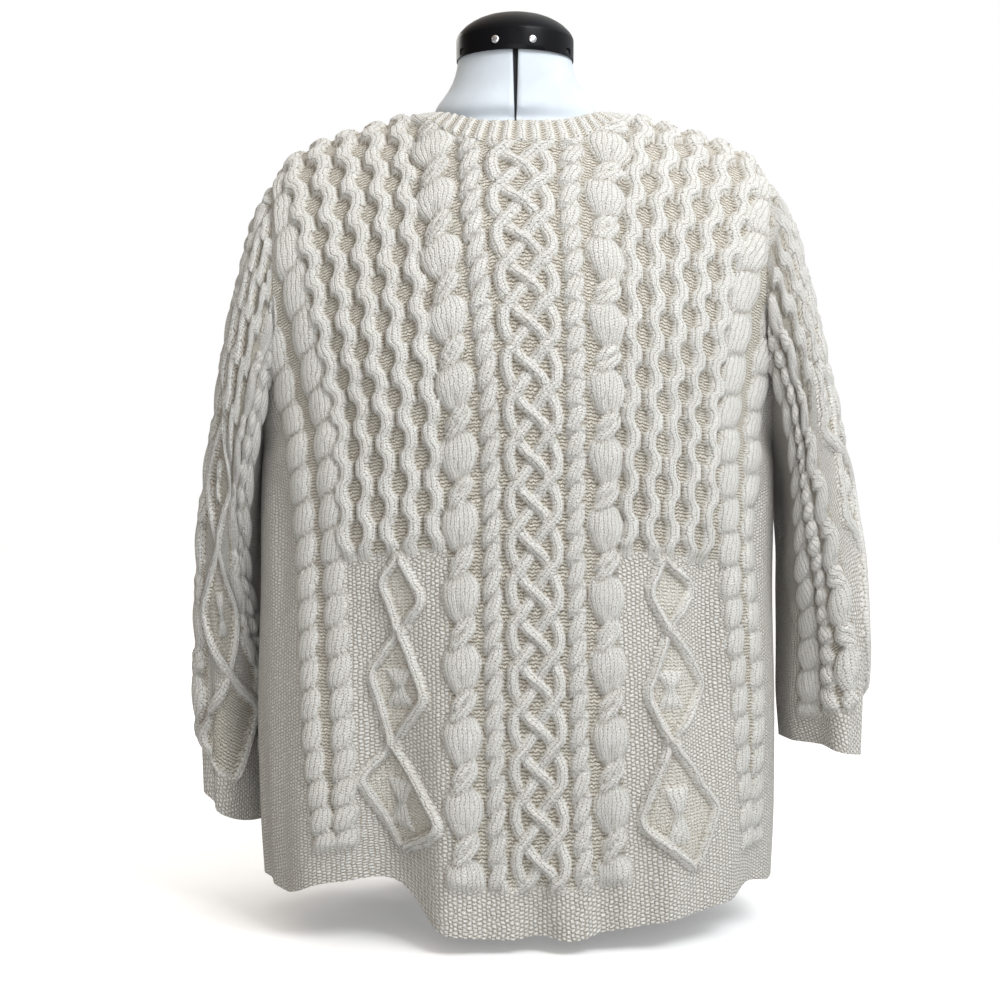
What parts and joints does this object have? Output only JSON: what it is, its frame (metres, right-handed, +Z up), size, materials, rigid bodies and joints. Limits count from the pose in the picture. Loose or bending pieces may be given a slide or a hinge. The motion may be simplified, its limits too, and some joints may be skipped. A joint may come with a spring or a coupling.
{
  "type": "cable knit sweater on dress form",
  "caption": "Hollow aran cable knit pullover with open neck, hem and cuffs, hanging on a limbless countertop dress form with a round base",
  "frame": {"origin": "centre of the base plate's flat underside", "axes": "+Z up the form, -Y out of the sweater's back, +X to the wearer's right"},
  "size_m": [0.5698, 0.3005, 0.7635],
  "materials": {
    "wool": "soft cable knit wool, ivory",
    "form_cloth": "smooth white jersey over foam",
    "cap_plastic": "gloss black",
    "steel": "polished",
    "painted_steel": "satin light grey"
  },
  "bodies": {
    "root": {"back": "wool", "front": "wool", "sleeve_left": "wool", "sleeve_right": "wool", "neckband": "wool", "form_torso": "form_cloth", "neck_cap": "cap_plastic", "cap_screw_left": "steel", "cap_screw_right": "steel", "form_post": "steel", "form_base": "painted_steel"}
  },
  "joints": []
}
